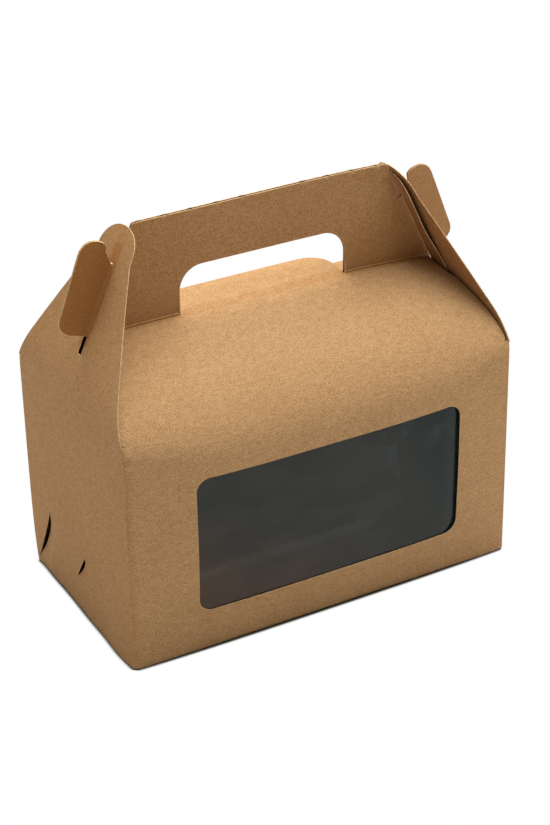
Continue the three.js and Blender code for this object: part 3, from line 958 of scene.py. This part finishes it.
def filmMaterial():
    # clear film painted with the shaded inside behind it and with a painted sheen towards the upper right:
    # warm towards the lower left, cool towards the right
    board = Board(bpy.data.materials.new("window_film"))
    x, z = board.along("X"), board.along("Z")
    warm = board.range(x * -0.5 - z, *film["warm"])
    cool = board.range(x + z * 0.3, *film["cool"])
    cloud = board.range(board.speckle(film["cloudScale"], 2.0, 0.5, (1, 1, 2)), *film["clouds"])
    wisp = board.range(board.speckle(film["wispScale"], 3.0, 0.6, (1.4, 1, 0.5)), *film["wisps"])
    upper = board.range(x * 0.6 + z, *film["upper"])
    colour = board.blend(warm * film["warmShare"], film["dark"], film["brown"])
    colour = board.blend(cool * film["coolShare"], colour, film["green"])
    colour = board.blend(cloud * film["cloudShare"], colour, film["green"])
    colour = board.blend(wisp * upper * film["wispShare"], colour, film["sheen"])
    bump = board.add("Bump", {}, {"Strength": film["bump"], "Distance": film["bumpDepth"],
                                  "Height": board.speckle(film["bumpScale"], 2.0, 0.5, (1, 1, 2.2))})
    sockets = {"Base Color": colour, "Roughness": film["roughness"], "Alpha": film["cover"],
               "Specular IOR Level": film["specular"], "IOR": film["ior"], "Normal": bump}
    return board.finish(board.add("BsdfPrincipled", {}, sockets))


def filmPlace(x, z):
    # it lies a little deeper along the window's right side
    back = sheet / 2 + card["fit"] / 2 + film["thickness"] / 2
    inset = x - window["shift"] - window["length"] / 2 + film["recessOver"]
    back += film["recess"] * easeOut(inset / film["recessOver"])
    slant = z / film["wrinkleHeight"] + x / film["wrinkleSlant"]
    ripple = noise.noise(Vector((x / film["wrinkleLength"], film["wrinkleSeed"], slant)))
    ripple = film["wrinkle"] * (ripple - film["wrinkleCalm"])
    return Vector((x, -wallOut(x, z) + back - min(ripple, 0), z))


def filmSheet():
    half = window["length"] / 2 + film["lap"]
    low = window["sill"] - film["lap"]
    high = window["sill"] + window["height"] + film["topLap"]
    wide, tall = net["filmColumns"], net["filmRows"]
    xs = [mix(window["shift"] - half, window["shift"] + half, k / wide) for k in range(wide + 1)]
    zs = [mix(low, high, k / tall) for k in range(tall + 1)]
    return strip([[filmPlace(x, z) for z in zs] for x in xs])


filmShell = thickened(*filmSheet(), film["thickness"], edgeRound=0)
filmPiece = pieceFrom("film_window", [filmShell], [filmMaterial()] * 3)
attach(filmPiece, "carton")
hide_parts("window_film")

stage = {
    "floor": 6.0, "white": (0.82, 0.79, 0.74, 1.0), "ambient": 0.03,
    "shadow": (0.1, 0.095, 0.08, 1.0), "contact": 0.004, "shadowEdge": (0.5, 0.78),
    "clip": (0.05, 50), "aimHeight": 0.1,
    "yaw": 29.085, "pitch": 28.262, "roll": -1.164,
    "position": (-491.03, -892.65, 637.68), "lens": 93.22, "sensor": 36.0,
}


def seenDirectly(board):
    # 1 for what the camera sees, also in a reflection or through the film
    seen = 0
    for name in ("Is Camera Ray", "Is Glossy Ray", "Is Transmission Ray"):
        ray = board.add("LightPath", {}, {}, name)
        seen = ray.sum("MAXIMUM", ray, seen)
    return seen


def floorMaterial():
    board = Board(bpy.data.materials.new("white_floor"))
    nearby = board.add("AmbientOcclusion", {"samples": 16}, {"Distance": stage["contact"]}, "AO")
    clear = board.range(nearby, *stage["shadowEdge"])
    plain = board.add("BsdfDiffuse", {}, {"Color": stage["white"]})
    shadow = board.add("BsdfDiffuse", {}, {"Color": stage["shadow"]})
    bright = board.add("Emission", {}, {"Color": (1, 1, 1, 1), "Strength": 1.0})
    seen = board.add("MixShader", {}, {0: clear, 1: shadow, 2: bright})
    return board.finish(board.add("MixShader", {}, {0: seenDirectly(board), 1: plain, 2: seen}))


floorMesh = bpy.data.meshes.new("floor")
reachOut = stage["floor"]
floorMesh.from_pydata([(-reachOut, -reachOut, 0), (reachOut, -reachOut, 0), (reachOut, reachOut, 0),
                       (-reachOut, reachOut, 0)], [], [(0, 1, 2, 3)])
floor = bpy.data.objects.new("floor", floorMesh)
bpy.context.scene.collection.objects.link(floor)
floorMesh.materials.append(floorMaterial())

world = bpy.data.worlds.new("studio")
bpy.context.scene.world = world
studio = Board(world, "OutputWorld")
soft = studio.add("Background", {}, {"Color": (1, 1, 1, 1), "Strength": stage["ambient"]})
white = studio.add("Background", {}, {"Color": (1, 1, 1, 1), "Strength": 1.0})
studio.finish(studio.add("MixShader", {}, {0: seenDirectly(studio), 1: soft, 2: white}))

lamps = [
    {"name": "overhead", "place": (0.44, 0.38, 2.0), "size": 3.0, "power": 128.0},
]
for lamp in lamps:
    light = bpy.data.lights.new(lamp["name"], "AREA")
    light.energy, light.size = lamp["power"], lamp["size"]
    lampObject = bpy.data.objects.new(lamp["name"], light)
    lampObject.location = lamp["place"]
    lampObject.visible_glossy = False
    aim = Vector((0, 0, stage["aimHeight"])) - Vector(lamp["place"])
    lampObject.rotation_euler = aim.to_track_quat("-Z", "Y").to_euler()
    bpy.context.scene.collection.objects.link(lampObject)

cameraData = bpy.data.cameras.new("camera")
cameraData.lens, cameraData.sensor_width = stage["lens"], stage["sensor"]
cameraData.clip_start, cameraData.clip_end = stage["clip"]
camera = bpy.data.objects.new("camera", cameraData)
yaw, pitch, roll = (math.radians(stage[name]) for name in ("yaw", "pitch", "roll"))
forward = Vector((math.sin(yaw) * math.cos(pitch), math.cos(yaw) * math.cos(pitch), -math.sin(pitch)))
level = Vector((math.cos(yaw), -math.sin(yaw), 0))
upright = level.cross(forward)
right = level * math.cos(roll) + upright * math.sin(roll)
up = upright * math.cos(roll) - level * math.sin(roll)
turn = Matrix((right, up, -forward)).transposed().to_4x4()
camera.matrix_world = Matrix.Translation(Vector(stage["position"]) * millimetre) @ turn
bpy.context.scene.collection.objects.link(camera)
bpy.context.scene.camera = camera
bpy.context.scene.view_settings.view_transform = "Standard"
print("stage, lamps and camera ready")
